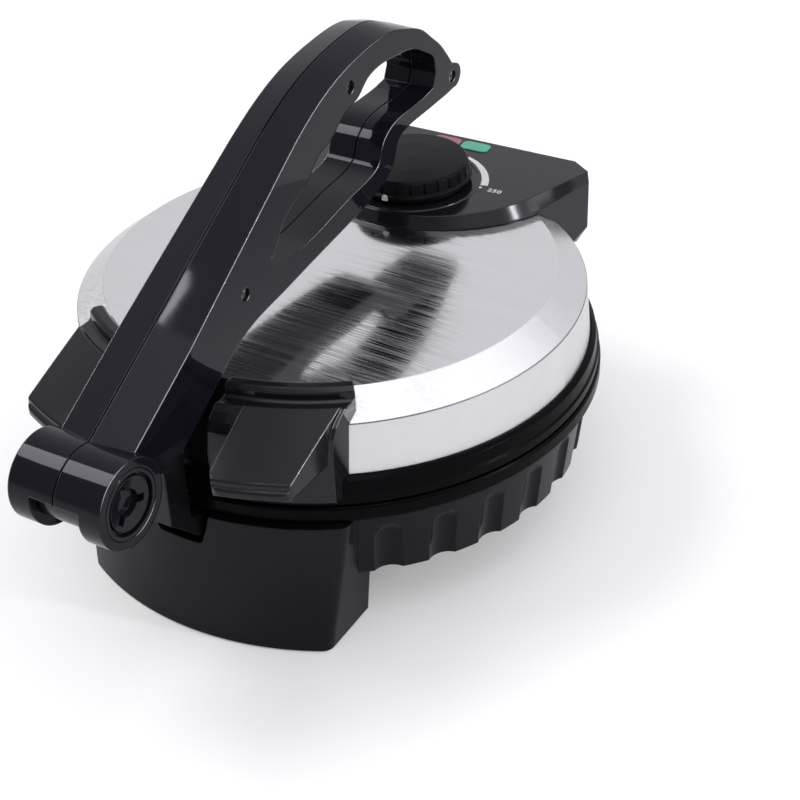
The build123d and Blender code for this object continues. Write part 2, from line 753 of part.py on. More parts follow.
def make_knob():
    """Knob with a narrow foot, a band and grip slots above it."""
    foot = deck_z + knob_lift
    top = foot + knob_height
    band = foot + 3.2
    slots_from = band + 2.4
    body = turned([
        (0, foot + 2),
        (knob_foot_radius - 2, foot + 2),
        (knob_foot_radius - 1, foot),
        (knob_foot_radius, foot),
        (knob_foot_radius, band - 0.6),
        (knob_band_radius, band),
        (knob_band_radius, band + 1.2),
        (knob_top_radius, slots_from - 0.4),
        (knob_top_radius - 0.5, top - knob_crown - 1.4),
        (knob_top_radius - 1.9, top - knob_crown),
        (0.55 * knob_top_radius, top - 0.3 * knob_crown),
        (0, top),
    ])
    for step in range(knob_rib_count):
        x, y = polar(knob_top_radius + 0.2, (step + 0.5) * 360.0 / knob_rib_count)
        body = body - z_rod(knob_slot_radius, slots_from, top + 1, x, y)
    body = Pos(0, knob_y, 0) * body
    return body - z_rod(knob_shaft_radius, foot - 1, top - 3, 0, knob_y)


# ---------------------------------------------------------------- lever
def from_pivot(along, above):
    """Point (y, z) measured along and above the beam's axis line through the pivot."""
    turn = math.radians(lever_angle)
    y = pivot_y + along * math.cos(turn) - above * math.sin(turn)
    z = pivot_z + along * math.sin(turn) + above * math.cos(turn)
    return (y, z)


def lever_point(y, z):
    """Point (y, z) from distances behind and above the pivot."""
    return (pivot_y + y, pivot_z + z)


def lever_curve(*points, start, end):
    """Smooth curve through points given from the pivot, with its end directions."""
    return Spline(*[lever_point(*point) for point in points], tangents=[start, end])


def lever_outline(drop):
    """Side view of the lever; the spine is lowered by a drop that fades out at the tip."""
    start = from_pivot(0, spine_offset - drop)
    beam_end = from_pivot(179, spine_offset - drop)
    slope = math.radians(lever_angle)
    hump = Spline(
        beam_end,
        lever_point(198.5, 124.8 - 0.9 * drop),
        lever_point(229.5, 129.7 - 0.85 * drop),
        lever_point(247.5, 130.3 - 0.8 * drop),
        lever_point(259.5, 128.5 - 0.66 * drop),
        lever_point(271.5, 123.7 - 0.4 * drop),
        lever_point(285.5, 117.3 - 0.1 * drop),
        lever_point(297.5, 107.9),
        lever_point(306.5, 100.5),
        lever_point(314.5, 91.5),
        lever_point(320.0, 84.0),
        tangents=[(math.cos(slope), math.sin(slope)), (0.5, -0.87)])
    nose_top = lever_point(324.0, 83.3)
    chin = lever_point(321.0, 69.9)
    nose = Line(hump @ 1, nose_top) + ThreePointArc(nose_top, lever_point(329.1, 75.5), chin)
    grip_low = lever_curve(
        (312.5, 69.1), (289.5, 68.5), (269.5, 67.9), (257.5, 63.5), (252.5, 53.5), (241.5, 46.5), (209.5, 40.5),
        (143.5, 34.1), start=(-1, -0.02), end=(-1, -0.1))
    under = lever_curve(
        (143.5, 34.1), (102.5, 29.1), (80.8, 19.2), (44.5, -1.5), start=(-1, -0.1), end=(-1, -0.55))
    heel = lever_point(0, -8)
    return (Line(start, beam_end) + hump + nose + Line(chin, grip_low @ 0) + grip_low + under
            + Line(under @ 1, heel) + Line(heel, start))


def grip_top(end):
    """Upper edge of the hand loop from its end to its front, with finger ridges."""
    return lever_curve(
        end, (290.5, 102.0), (278.5, 108.4), (259.0, 112.0), (234.5, 112.0), (227.5, 109.3), (221.5, 105.2),
        (213.5, 102.8), (204.5, 100.5), (197.5, 96.3), (192.0, 93.1), (184.5, 91.2), (177.8, 88.8), (172.5, 84.3),
        (166.5, 80.5), (151.5, 74.5), (140.5, 66.1), (133.0, 56.5), (133.8, 50.4), start=(0.1, 1), end=(0.6, -1))


def window_outline():
    """Hand loop through both shells."""
    low = lever_curve(
        (135.5, 48.7), (165.5, 48.8), (188.5, 51.5), (209.5, 54.2), (228.5, 55.9), (237.1, 59.5), (241.0, 67.2),
        (248.0, 73.2), (256.5, 76.1), (268.5, 76.9), (287.5, 77.3), start=(1, 0), end=(1, 0.06))
    back = Line(low @ 1, lever_point(297.0, 78.6)) + Line(lever_point(297.0, 78.6), lever_point(300.6, 86.0))
    back = back + Line(lever_point(300.6, 86.0), lever_point(300.0, 90.0))
    high = grip_top((300.0, 90.0))
    return low + back + high + Line(high @ 1, low @ 0)


def grip_side_outline():
    """Open side of the right shell round the hand loop, down to the flange of the lower bar."""
    flange = lever_curve(
        (137.2, 46.4), (160.8, 46.3), (179.0, 47.6), (197.7, 49.4), (218.5, 51.2), (233.6, 52.6), (242.7, 54.8),
        (247.3, 60.0), (249.3, 66.5), (254.7, 72.2), (263.9, 73.9), (276.4, 75.2), (295.5, 76.9), (307.0, 79.0),
        start=(1, 0), end=(1, 0.2))
    back = Line(flange @ 1, lever_point(309.0, 82.2)) + Line(lever_point(309.0, 82.2), lever_point(306.5, 89.0))
    high = grip_top((306.5, 89.0))
    return flange + back + high + Line(high @ 1, flange @ 0)


def beam_cavity():
    """Hollow of the beam between the barrel and the hand loop."""
    depth = crown_drop + lever_wall
    return Polyline(
        from_pivot(26, spine_offset - depth), from_pivot(140, spine_offset - depth),
        *[lever_point(*point) for point in ((121.0, 43.0), (102.5, 32.7), (84.5, 25.0), (59.5, 12.5), (33.5, 11.5))],
        close=True)


def lever_half():
    """Right half of the lever without its fixings."""
    inner = Plane.YZ.offset(seam_gap / 2) * make_face(lever_outline(0))
    outer = Plane.YZ.offset(beam_half_width + 1.0) * make_face(lever_outline(crown_drop))
    half = loft([inner, outer], ruled=True)
    widths = [(0, -40), (beam_half_width, -40), (beam_half_width, beam_to), (waist_half_width, waist_at),
              (grip_half_width, grip_from), (grip_half_width - 0.6, 360), (0, 360)]
    side = plan_plate(Polyline(*[(x, pivot_y + y) for x, y in widths], close=True), bowl_top_z, pivot_z + 180)
    half = half & side
    half = half - side_plate(window_outline(), -5, 40)
    half = half - side_plate(beam_cavity(), -5, beam_half_width - lever_wall - 1.2)
    half = half + x_rod(barrel_radius, seam_gap / 2, barrel_half, pivot_y, pivot_z)
    return half


def grip_side_recess():
    """Space beside the lower bar and in the open end of the grip, cut from the right shell."""
    shallow = side_plate(grip_side_outline(), low_bar_half_width, 40)
    deep = side_plate(grip_side_outline(), web_half_width, 40)
    elbow_y, elbow_z = lever_point(233.5, 0)
    beyond = Pos(0, elbow_y, elbow_z) * Box(80, 120, 300, align=(Align.CENTER, Align.MIN, Align.CENTER))
    return shallow + (deep & beyond)


def barrel_slot():
    """Space in the middle of the barrel for the bracket's knuckle and arm."""
    half = arm_half_width + arm_side_gap
    room = x_rod(barrel_radius - barrel_wall, -half, half, pivot_y, pivot_z)
    far = 60.0
    points = [(pivot_y, pivot_z)]
    sweep = slot_back_angle + 360 - slot_front_angle
    for step in range(7):
        points.append(polar(far, slot_front_angle + sweep * step / 6, pivot_y, pivot_z))
    return room, side_plate(Polyline(*points, close=True), -half, half)


def lever_shell(side):
    """One moulded half of the lever; the right one holds the screw heads."""
    half = lever_half()
    for y, z in lever_screw_places:
        half = half + (x_rod(screw_recess_radius + 2.2, seam_gap / 2, beam_half_width, y, z) & lever_boss_room)
    room, slot = barrel_slot()
    near_pivot = Pos(0, pivot_y, pivot_z) * Box(80, 116, 110)
    half = half - room - (slot & near_pivot)
    half = half - x_rod(pivot_pin_radius + bush_wall, 0, barrel_half - cap_depth, pivot_y, pivot_z)
    half = half - x_rod(cap_radius, barrel_half - cap_depth, barrel_half + 1, pivot_y, pivot_z)
    if side < 0:
        half = mirrored(half)
    else:
        half = half - grip_side_recess()
    for y, z in lever_screw_places:
        if side > 0:
            head_x = screw_head_x(y)
            half = half - x_rod(screw_radius + 0.2, -1, 40, y, z)
            half = half - x_rod(screw_recess_radius, head_x, 40, y, z)
        else:
            half = half - x_rod(screw_radius, -8.5, 1, y, z)
    return half


def side_x(y):
    """Half width of the lever at a station y."""
    along = y - pivot_y
    if along < beam_to:
        return beam_half_width
    if along < waist_at:
        return beam_half_width + (waist_half_width - beam_half_width) * (along - beam_to) / (waist_at - beam_to)
    return grip_half_width


def screw_head_x(y):
    """Seat of a lever screw's head."""
    return side_x(y) - screw_recess_depth


def make_lever_screws():
    """Screws that hold the two lever shells together."""
    screws = []
    for y, z in lever_screw_places:
        seat = screw_head_x(y)
        shank = x_rod(screw_radius, -8, seat + 0.5, y, z)
        screws.append(shank + x_rod(screw_head_radius, seat, seat + screw_head_height, y, z))
    return screws


def make_pivot_cap(side):
    """Dished cap in the end of the barrel, with a groove near its edge and a keyed eye."""
    radius = cap_radius - 0.1
    seat = barrel_half - cap_depth
    floor = seat + 1.2
    face = barrel_half - 0.8
    groove_out = radius - 2.2
    groove_in = groove_out - cap_groove_width
    section = Plane.XY * make_face(Polyline(
        (seat, 0), (seat, radius), (barrel_half - 0.4, radius), (barrel_half, radius - 0.5),
        (barrel_half, groove_out), (face - 2.4, groove_out - 0.2), (face - 2.4, groove_in + 0.2), (face, groove_in),
        (face - 1.2, cap_eye_radius + 0.8), (floor, cap_eye_radius), (floor, 0), close=True))
    cap = revolve(section, Axis.X)
    for step in range(3):
        key = Pos(floor, 0, 0) * Box(cap_depth, cap_key_width, cap_key_reach,
                                     align=(Align.MIN, Align.CENTER, Align.MIN))
        cap = cap - Rot(15 + 120 * step, 0, 0) * key
    cap = Pos(0, pivot_y, pivot_z) * cap
    return cap if side > 0 else mirrored(cap)


def make_bush(side):
    """Plain bush between the lever's barrel and the pivot pin."""
    start = arm_half_width + arm_side_gap
    bush = x_rod(pivot_pin_radius + bush_wall, start, pivot_pin_half, pivot_y, pivot_z)
    bush = bush - x_rod(pivot_pin_radius + running_gap, start - 1, pivot_pin_half + 1, pivot_y, pivot_z)
    return bush if side > 0 else mirrored(bush)


def make_bracket():
    """Swan-neck bracket from the base through the plinth's notch to the lever's pivot."""
    leg_back_low = -bowl_radius(bracket_foot_z) - part_gap
    leg_back_high = -bowl_top_radius - part_gap
    low_z = bowl_top_z - notch_depth + 1.2
    neck_back = -apron_radius - 4.8
    neck_front = neck_back - 15.5
    elbow_z = low_z + leg_back_high - bracket_leg - neck_front
    under_z = pivot_z - 7.0
    over_z = pivot_z + 7.0
    outline = (
        Polyline((leg_back_low, bracket_foot_z), (leg_back_low - bracket_leg, bracket_foot_z),
                 (leg_back_high - bracket_leg, low_z), (neck_front, elbow_z), (neck_front, under_z - 10))
        + RadiusArc((neck_front, under_z - 10), (neck_front - 10, under_z), -10)
        + Polyline((neck_front - 10, under_z), (pivot_y, under_z), (pivot_y, over_z), (neck_back - 16, over_z))
        + RadiusArc((neck_back - 16, over_z), (neck_back, over_z - 16), 16)
        + Polyline((neck_back, over_z - 16), (neck_back, bowl_top_z + 3), (leg_back_high, bowl_top_z - 3),
                   (leg_back_low, bracket_foot_z))
    )
    body = side_plate(outline, -arm_half_width, arm_half_width)
    body = body + x_rod(knuckle_radius, -arm_half_width, arm_half_width, pivot_y, pivot_z)
    body = body - x_rod(pivot_pin_radius, -barrel_half, barrel_half, pivot_y, pivot_z)
    for bolt_x in (-bracket_bolt_x, bracket_bolt_x):
        body = body - y_rod(bracket_bolt_radius, neck_front, leg_back_low + 5, bolt_x, bracket_bolt_z)
    return body


def make_bracket_bolts():
    """Bolts that hold the bracket's leg on the bowl."""
    bolts = []
    bowl_inside = -bowl_radius(bracket_bolt_z) + bowl_wall
    for bolt_x in (-bracket_bolt_x, bracket_bolt_x):
        shank = y_rod(bracket_bolt_radius, -bowl_radius(bracket_bolt_z) - bracket_leg + 0.5, bowl_inside + 6,
                      bolt_x, bracket_bolt_z)
        nut = y_rod(4.6, bowl_inside + 0.8, bowl_inside + 4.8, bolt_x, bracket_bolt_z)
        bolts.append(shank + nut)
    return bolts


def make_cover_screws():
    """Screws that hold the bottom cover."""
    screws = []
    for x, y in cover_screw_places:
        shank = z_rod(screw_radius, cover_top_z - cover_sheet - 0.5, cover_top_z + 10, x, y)
        head = z_rod(screw_head_radius, cover_top_z - cover_sheet - 2.0, cover_top_z - cover_sheet, x, y)
        screws.append(shank + head)
    return screws


def make_terminal_block():
    """Terminal block on the floor of the rear block."""
    floor_z = foot_standout + moulding
    body = Pos(gland_x - 22, foot_y_back, floor_z) * Box(34, 16, 14, align=(Align.CENTER, Align.CENTER, Align.MIN))
    for step in range(3):
        body = body - z_rod(2.2, floor_z + 8, floor_z + 20, gland_x - 33 + 11 * step, foot_y_back)
    return body


# places that several parts share
hinge_end = hinge_barrel_half + hinge_side_gap + hinge_lug_width + 1.0
cover_screw_places = [polar(bowl_foot_radius - cover_screw_inset, 45 + 90 * step) for step in range(4)]
lever_screw_places = [lever_point(213.0, 112.5), lever_point(106.8, 49.5), lever_point(319.5, 77.0)]
lever_boss_room = plan_plate(Polyline(
    *[(x, pivot_y + y) for x, y in ((0, beam_to), (beam_half_width - 1.5, beam_to), (waist_half_width - 1.2, waist_at),
                                    (grip_half_width - 1.0, grip_from), (grip_half_width - 1.0, 360), (0, 360))],
    close=True), bowl_top_z, pivot_z + 180)

# ---------------------------------------------------------------- build and write
save("base_bowl", make_bowl())
save("base_rim", make_rim())
save("front_plinth", make_plinth())
save("rear_block", make_rear_block())
save("hinge_lug_left", make_hinge_lug(-1))
save("hinge_lug_right", make_hinge_lug(1))
save("cord_gland", make_cord_gland())
save("bottom_cover", make_bottom_cover())
save("cover_screws", *make_cover_screws())
save("terminal_block", make_terminal_block())
feet = [z_rod(foot_radius, 0, foot_height, side * foot_x_front, foot_y_front) for side in (-1, 1)]
feet += [z_rod(foot_radius, 0, foot_height, side * foot_x_back, foot_y_back) for side in (-1, 1)]
save("rubber_feet", *feet)

save("lower_heating_plate", place_lower(heater_plate()))
save("lower_heating_element", place_lower(heater_element()))
save("lower_heat_shield", place_lower(heater_shield()))
stud_run = plate_top_z - plate_thickness - cover_top_z - 0.2
save("lower_plate_studs", *[place_lower(stud) for stud in heater_studs(stud_run)])

save("hinge_pin", x_rod(hinge_pin_radius, -hinge_end, hinge_end, hinge_y, hinge_z))
save("lever_bracket", make_bracket())
save("bracket_bolts", *make_bracket_bolts())
save("lever_pivot_pin", x_rod(pivot_pin_radius, -pivot_pin_half, pivot_pin_half, pivot_y, pivot_z))

save("lid_cover", make_lid_cover())
save("lid_ring", make_lid_ring())
save("wing_left", make_wing(-1))
save("wing_right", make_wing(1))
save("control_housing", make_housing())
save("housing_floor", make_housing_floor())
save("indicator_lamps", make_lamp(-1), make_lamp(1))
save("lid_hinge_bracket", make_hinge_bracket())
save("red_lens", make_lens(-1))
save("green_lens", make_lens(1))
save("thermostat", make_thermostat())
save("upper_heating_plate", place_upper(heater_plate()))
save("upper_heating_element", place_upper(heater_element()))
save("upper_heat_shield", place_upper(heater_shield()))
upper_stud_run = lid_edge_z - sheet - upper_plate_bottom_z - plate_thickness + 0.4
save("upper_plate_studs", *[place_upper(stud) for stud in heater_studs(upper_stud_run)])

save("thermostat_knob", make_knob())
shaft_top = deck_z + knob_lift + knob_height - 3.0
save("thermostat_shaft", z_rod(knob_shaft_radius, lid_edge_z - sheet - 3.0, shaft_top, 0, knob_y))

save("lever_left_shell", lever_shell(-1))
save("lever_right_shell", lever_shell(1))
save("lever_screws", *make_lever_screws())
save("pivot_caps", make_pivot_cap(-1), make_pivot_cap(1))
save("pivot_bushes", make_bush(-1), make_bush(1))
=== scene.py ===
import json
import math

import bmesh
import bpy
from mathutils import Matrix, Vector


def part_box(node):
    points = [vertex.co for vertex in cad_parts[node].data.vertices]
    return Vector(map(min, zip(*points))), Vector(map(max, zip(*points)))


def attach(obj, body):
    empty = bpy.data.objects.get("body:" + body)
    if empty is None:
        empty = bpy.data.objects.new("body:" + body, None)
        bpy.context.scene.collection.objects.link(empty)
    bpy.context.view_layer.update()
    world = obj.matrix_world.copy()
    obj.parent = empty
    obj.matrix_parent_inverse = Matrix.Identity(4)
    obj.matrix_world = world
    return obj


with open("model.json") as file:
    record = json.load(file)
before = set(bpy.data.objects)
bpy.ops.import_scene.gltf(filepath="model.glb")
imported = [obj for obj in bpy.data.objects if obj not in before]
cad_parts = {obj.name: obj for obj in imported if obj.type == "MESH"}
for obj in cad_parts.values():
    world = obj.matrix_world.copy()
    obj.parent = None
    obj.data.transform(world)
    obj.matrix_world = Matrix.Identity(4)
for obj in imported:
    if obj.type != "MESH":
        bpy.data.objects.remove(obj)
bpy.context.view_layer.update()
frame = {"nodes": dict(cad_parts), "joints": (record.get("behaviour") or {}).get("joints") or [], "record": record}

scene = bpy.context.scene
MM = 0.001

# The lid, the plates and the base share one upright axis, and the dial turns about its own.
lid_low, lid_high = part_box("lid_cover")
LID_AXIS_Y = (lid_low.y + lid_high.y) / 2
DIAL_Y = next(joint["pos_m"][1] for joint in frame["joints"] if joint["name"] == "knob_turn")

# Levels on the lid: the deck round the dial, and the foot and the top of the steel's slope.
DECK_Z = 148.0 * MM
SLOPE_FOOT_Z = 128.1 * MM
SLOPE_TOP_Z = 139.4 * MM

# The Mix node has a socket of the same name for each kind of value, so its colours are picked by place.
MIX_FIRST, MIX_SECOND, MIX_RESULT = 6, 7, 2


# ---------------------------------------------------------------- node helpers
class Nodes:
    """Adds nodes to one tree and joins them."""

    def __init__(self, tree):
        self.tree = tree

    def node(self, kind, **settings):
        made = self.tree.nodes.new(kind)
        for key, value in settings.items():
            setattr(made, key, value)
        return made

    def link(self, output, socket):
        self.tree.links.new(output, socket)

    def ramp(self, value, low, high, out_low=0.0, out_high=1.0, **settings):
        """Number that goes from out_low to out_high while a value goes from low to high."""
        spread = self.node("ShaderNodeMapRange", **settings)
        for key, number in (("From Min", low), ("From Max", high), ("To Min", out_low), ("To Max", out_high)):
            spread.inputs[key].default_value = number
        self.link(value, spread.inputs["Value"])
        return spread.outputs["Result"]

    def maths(self, operation, *values):
        """Number worked out from others, each of them an output or a plain number."""
        made = self.node("ShaderNodeMath", operation=operation)
        for socket, value in zip(made.inputs, values):
            if isinstance(value, float):
                socket.default_value = value
            else:
                self.link(value, socket)
        return made.outputs["Value"]

    def facing(self, vector, direction):
        """How far a vector points in a direction: 1 straight along it, 0 across it."""
        match = self.node("ShaderNodeVectorMath", operation="DOT_PRODUCT")
        self.link(vector, match.inputs[0])
        match.inputs[1].default_value = direction
        return match.outputs["Value"]

    def parts(self, vector):
        """The X, Y and Z of a vector."""
        split = self.node("ShaderNodeSeparateXYZ")
        self.link(vector, split.inputs["Vector"])
        return split.outputs["X"], split.outputs["Y"], split.outputs["Z"]


class Finish(Nodes):
    """One finish: a Principled shader with the nodes that give it its surface."""

    def __init__(self, name, colour, rough, metallic=0.0):
        self.mat = bpy.data.materials.new(name)
        self.mat.use_nodes = True
        super().__init__(self.mat.node_tree)
        self.shader = self.tree.nodes["Principled BSDF"]
        self.rounded = None
        self.fixed("Base Color", (*colour, 1.0))
        self.fixed("Roughness", rough)
        self.fixed("Metallic", metallic)

    def fixed(self, socket, value):
        """Gives a socket of the shader one value all over."""
        self.shader.inputs[socket].default_value = value

    def driven(self, socket, output):
        """Lets nodes give a socket of the shader its value from place to place."""
        self.link(output, self.shader.inputs[socket])

    def so_far(self, socket):
        """The output that drives a socket of the shader already."""
        return self.shader.inputs[socket].links[0].from_socket

    def object_coords(self, scale=None):
        """Object coordinates, stretched where a pattern runs in one direction."""
        place = self.node("ShaderNodeTexCoord").outputs["Object"]
        if scale is None:
            return place
        stretch = self.node("ShaderNodeMapping", vector_type="POINT")
        stretch.inputs["Scale"].default_value = scale
        self.link(place, stretch.inputs["Vector"])
        return stretch.outputs["Vector"]

    def noise(self, vector, scale, detail=3.0, rough=0.5):
        """Uneven grain, with scale as its number of grains in a metre."""
        grain = self.node("ShaderNodeTexNoise")
        grain.inputs["Scale"].default_value = scale
        grain.inputs["Detail"].default_value = detail
        grain.inputs["Roughness"].default_value = rough
        self.link(vector, grain.inputs["Vector"])
        return grain.outputs["Fac"]

    def mixed(self, share, first, second):
        """Colour between two others by a share from 0 to 1, each of them an output or a plain colour."""
        mix = self.node("ShaderNodeMix", data_type="RGBA")
        self.link(share, mix.inputs["Factor"])
        for place, colour in ((MIX_FIRST, first), (MIX_SECOND, second)):
            if isinstance(colour, tuple):
                mix.inputs[place].default_value = (*colour, 1.0)
            else:
                self.link(colour, mix.inputs[place])
        return mix.outputs[MIX_RESULT]

    def tones(self, value, low, high, dark, light):
        """Colour that goes from dark to light while a value goes from low to high."""
        return self.mixed(self.ramp(value, low, high), dark, light)

    def blend(self, share, colour):
        """Fades the shader's colour towards another one by a share from 0 to 1."""
        self.driven("Base Color", self.mixed(share, self.so_far("Base Color"), colour))

    def between(self, value, low, high):
        """1 inside a band of values and 0 outside it, with a soft change at both ends."""
        soft = 0.15 * (high - low)
        rise = self.ramp(value, low - soft, low + soft)
        fall = self.ramp(value, high - soft, high + soft, 1.0, 0.0)
        return self.maths("MULTIPLY", rise, fall)

    def relief(self, height, strength, distance, rounded=0.0):
        """Bump from a height, over edges softened to a radius."""
        bump = self.node("ShaderNodeBump")
        bump.inputs["Strength"].default_value = strength
        bump.inputs["Distance"].default_value = distance
        self.link(height, bump.inputs["Height"])
        if rounded:
            soft = self.node("ShaderNodeBevel", samples=8)
            soft.inputs["Radius"].default_value = rounded
            self.link(soft.outputs["Normal"], bump.inputs["Normal"])
            self.rounded = soft.outputs["Normal"]
        self.driven("Normal", bump.outputs["Normal"])

    def edges(self):
        """0 on flat faces, rising to 1 along the edges that relief has rounded."""
        hardly_turned, well_turned = 0.97, 0.80
        turn = self.node("ShaderNodeVectorMath", operation="DOT_PRODUCT")
        self.link(self.node("ShaderNodeNewGeometry").outputs["Normal"], turn.inputs[0])
        self.link(self.rounded, turn.inputs[1])
        return self.ramp(turn.outputs["Value"], hardly_turned, well_turned)

    def painted_crease_highlight(self, direction, colour):
        """Painted highlight: a bright line along the edges that face one way, and along their mirror images across
        the piece.
        """
        local = self.node("ShaderNodeVectorTransform", vector_type="NORMAL", convert_from="WORLD",
                          convert_to="OBJECT")
        self.link(self.rounded, local.inputs["Vector"])
        x, y, z = self.parts(local.outputs["Vector"])
        mirrored = self.node("ShaderNodeCombineXYZ")
        for part, value in (("X", self.maths("ABSOLUTE", x)), ("Y", y), ("Z", z)):
            self.link(value, mirrored.inputs[part])
        off_line, on_line = 0.93, 0.975
        match = self.facing(mirrored.outputs["Vector"], Vector(direction).normalized())
        share = self.maths("MULTIPLY", self.ramp(match, off_line, on_line), self.edges())
        self.blend(share, colour)


# ---------------------------------------------------------------- finishes that show
def glossy_moulding(name, colour, rough, edge, shine, edge_highlight=None, crease=None, seam=0.0):
    """Black ABS from a polished mould: slight orange peel, fine dust, handling haze, soft edges,
    and painted highlights and shade.

    Of the last three arguments, the first is the tone of a painted highlight along every rounded edge,
    the second the direction and tone of a sharper painted highlight along the edges that face that way,
    and the third, seam, the half width of the gap where two half shells meet on the piece's middle
    plane, which gets painted shade.
    """
    f = Finish(name, colour, rough)
    place = f.object_coords()
    peel = f.noise(place, 46.0, detail=1.0)
    dust = f.noise(place, 900.0, detail=2.0, rough=0.6)
    haze = f.noise(place, 14.0)
    f.driven("Roughness", f.ramp(haze, 0.3, 0.75, rough * 0.85, rough * 1.3))
    dusty = tuple(c * 1.25 + 0.0008 for c in colour)
    f.driven("Base Color", f.tones(dust, 0.62, 0.85, colour, dusty))
    f.relief(peel, 0.05, 1.0 * MM, edge)
    f.fixed("IOR", 1.5)
    f.fixed("Specular Tint", (0.93, 0.9, 1.0, 1.0))
    f.fixed("Specular IOR Level", shine)
    # Painted highlight: every rounded edge is lightened towards the given tone.
    if edge_highlight:
        f.blend(f.edges(), edge_highlight)
    # Painted highlight: a sharper bright line along the edges that face the given way.
    if crease:
        f.painted_crease_highlight(*crease)
    if seam:
        # Painted shade: the band over the gap between the half shells is coloured near black.
        aside = f.maths("ABSOLUTE", f.parts(place)[0])
        gap = f.ramp(aside, 0.8 * seam, 1.2 * seam, 1.0, 0.0)
        f.blend(gap, (0.0006, 0.0006, 0.0008))
        # Nothing shines inside the gap either, so the painted shade there stays dark.
        f.driven("Specular IOR Level", f.ramp(gap, 0.0, 1.0, shine, 0.0))
    return f.mat


def brush_lines(f, colour, rough, along, across, edge, strength=0.25, spread=0.15):
    """Brushes a steel finish in one direction; spread is how far the lines differ in roughness."""
    fine = f.noise(f.object_coords((along, across, across)), 1.0, detail=2.0, rough=0.65)
    broad = f.noise(f.object_coords((along * 0.2, across * 0.12, across * 0.12)), 1.0)
    f.driven("Roughness", f.ramp(fine, 0.4, 0.6, rough * (1 - spread), rough * (1 + spread)))
    f.driven("Base Color", f.tones(broad, 0.3, 0.7, tuple(c * 0.975 for c in colour), colour))
    f.relief(fine, strength, 0.06 * MM, edge)


def lid_steel():
    """The lid's skin: long brush lines across it, a satin slope, and painted shade along the pressed line at the
    slope's foot.
    """
    colour, rough = (0.79, 0.79, 0.805), 0.14
    f = Finish("lid_brushed_steel", colour, rough, 1.0)
    brush_lines(f, colour, rough, along=5.0, across=1150.0, edge=0.7 * MM, strength=0.11, spread=0.5)
    grain = f.node("ShaderNodeVectorTransform", vector_type="VECTOR", convert_from="OBJECT",
                   convert_to="WORLD")
    grain.inputs["Vector"].default_value = (1.0, 0.0, 0.0)
    f.driven("Tangent", grain.outputs["Vector"])
    f.fixed("Anisotropic", 0.4)
    height = f.parts(f.object_coords())[2]
    # Painted shade: a dark band along the pressed line at the slope's foot.
    f.blend(f.between(height, SLOPE_FOOT_Z - 0.5 * MM, SLOPE_FOOT_Z + 0.2 * MM), (0.2, 0.2, 0.21))
    satin = f.ramp(height, SLOPE_TOP_Z - 0.4 * MM, SLOPE_TOP_Z, 0.24, 0.0)
    f.driven("Roughness", f.maths("ADD", f.so_far("Roughness"), satin))
    return f.mat


def lens_finish(name, colour):
    """Moulded lamp lens: even colour, slightly cloudy, with a clear skin."""
    f = Finish(name, colour, 0.35)
    cloud = f.noise(f.object_coords(), 260.0, detail=2.0)
    f.driven("Base Color", f.tones(cloud, 0.3, 0.7, tuple(c * 0.85 for c in colour), colour))
    f.relief(cloud, 0.1, 0.3 * MM, 0.6 * MM)
    f.fixed("Coat Weight", 0.5)
    f.fixed("Coat Roughness", 0.12)
    return f.mat


base_black = glossy_moulding("base_black", (0.0050, 0.0047, 0.0068), rough=0.17, edge=0.9 * MM, shine=0.20,
                             edge_highlight=(0.020, 0.020, 0.024))
# Painted shade: the lid's ring and the base's rim get a darker, duller copy of the black plastic.
rim_shaded_black = glossy_moulding("rim_shaded_black", (0.0016, 0.0016, 0.0018), rough=0.20, edge=0.8 * MM, shine=0.05,
                            edge_highlight=(0.020, 0.020, 0.023))
lid_black = glossy_moulding("lid_black", (0.0068, 0.0064, 0.0088), rough=0.13, edge=0.9 * MM, shine=0.38,
                            edge_highlight=(0.035, 0.035, 0.040))
wing_black = glossy_moulding("wing_black", (0.0068, 0.0064, 0.0088), rough=0.13, edge=1.1 * MM, shine=0.36,
                             edge_highlight=(0.020, 0.020, 0.024),
                             crease=((0.75, -0.26, 0.60), (0.62, 0.62, 0.66)))
cap_black = glossy_moulding("cap_black", (0.0066, 0.0060, 0.0100), rough=0.12, edge=0.6 * MM, shine=0.24,
                            edge_highlight=(0.020, 0.020, 0.024))
lever_black = glossy_moulding("lever_black", (0.0066, 0.0060, 0.0108), rough=0.05, edge=1.1 * MM, shine=0.20,
                              edge_highlight=(0.022, 0.022, 0.027),
                              crease=((0.787, -0.311, 0.533), (0.80, 0.80, 0.84)), seam=0.42 * MM)
knob_black = glossy_moulding("knob_black", (0.0075, 0.0072, 0.0085), rough=0.32, edge=0.5 * MM, shine=0.07)
bracket_paint = glossy_moulding("bracket_paint", (0.006, 0.006, 0.0075), rough=0.20, edge=1.2 * MM,
                                shine=0.30)
lid_skin = lid_steel()
red_lens = lens_finish("red_lens_finish", (0.30, 0.075, 0.115))
green_lens = lens_finish("green_lens_finish", (0.045, 0.36, 0.235))


# ---------------------------------------------------------------- finishes of fasteners and inner parts
def brushed_fastener(name, colour, rough, along, across, edge):
    """Screw or pin with the fine lines that turning or drawing leaves on it."""
    f = Finish(name, colour, rough, 1.0)
    brush_lines(f, colour, rough, along, across, edge)
    return f.mat


def grained(name, colour, rough, metallic=0.0, grain=400.0, depth=0.3 * MM, edge=0.4 * MM):
    """Cast, pressed, moulded or printed surface with its own fine grain."""
    f = Finish(name, colour, rough, metallic)
    speckle = f.noise(f.object_coords(), grain)
    f.driven("Base Color", f.tones(speckle, 0.3, 0.75, tuple(c * 0.8 for c in colour), colour))
    f.driven("Roughness", f.ramp(speckle, 0.3, 0.7, rough * 0.85, min(1.0, rough * 1.15)))
    f.relief(speckle, 0.25, depth, edge)
    return f.mat


